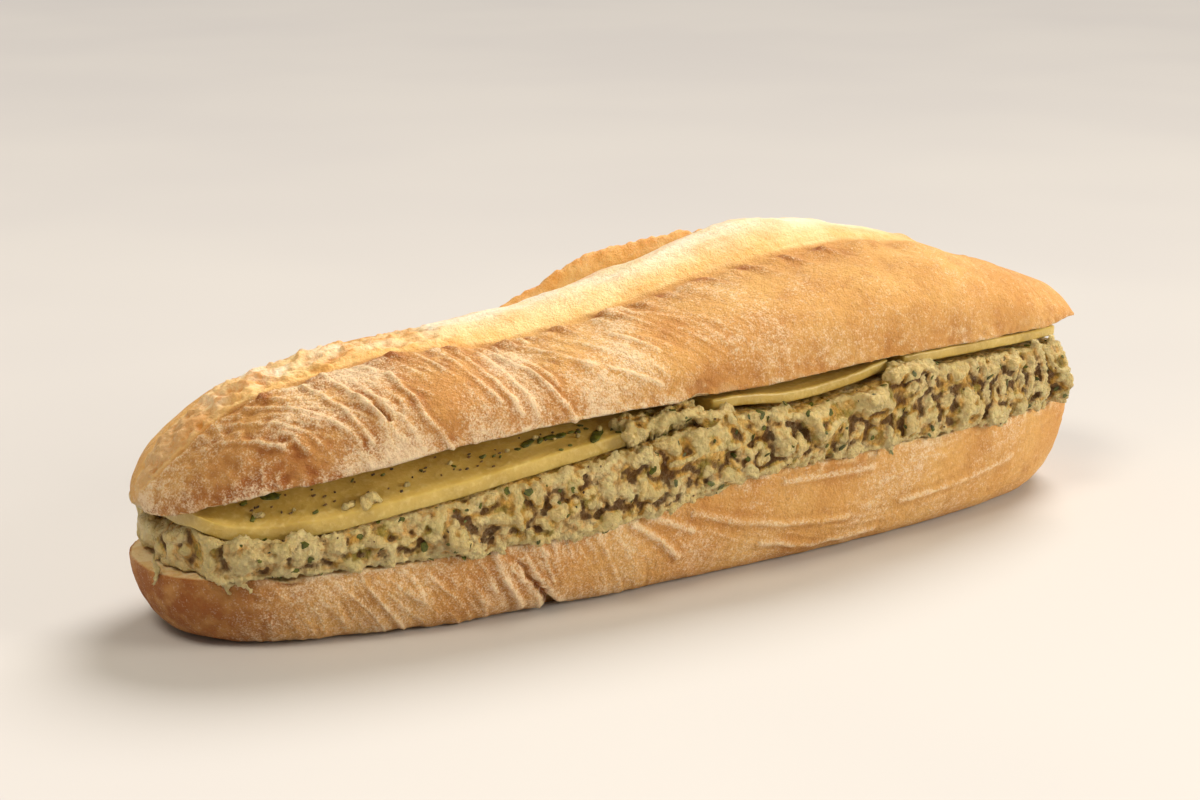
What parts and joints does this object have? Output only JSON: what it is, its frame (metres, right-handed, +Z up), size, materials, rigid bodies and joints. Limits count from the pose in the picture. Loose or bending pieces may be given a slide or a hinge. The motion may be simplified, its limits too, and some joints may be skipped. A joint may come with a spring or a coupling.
{
  "type": "submarine sandwich",
  "caption": "Small scored roll cut right through along its length, filled with herbed shredded chicken salad and thin cheese slices; low at one end, high past the middle.",
  "frame": {"origin": "centre of the flat foot that the roll stands on", "axes": "+X along the roll towards its high, pointed end, -Y the side where the filling spills out, +Z up"},
  "size_m": [0.2209, 0.074, 0.0652],
  "materials": {
    "crust": "matt floury crust",
    "salad": "moist, lumpy, slightly glossy",
    "cheese": "smooth, soft sheen"
  },
  "bodies": {
    "root": {"bread_bottom": "crust", "bread_top": "crust", "filling": "salad", "cheese_slice_left": "cheese", "cheese_slice_middle": "cheese", "cheese_slice_right": "cheese"}
  },
  "joints": []
}
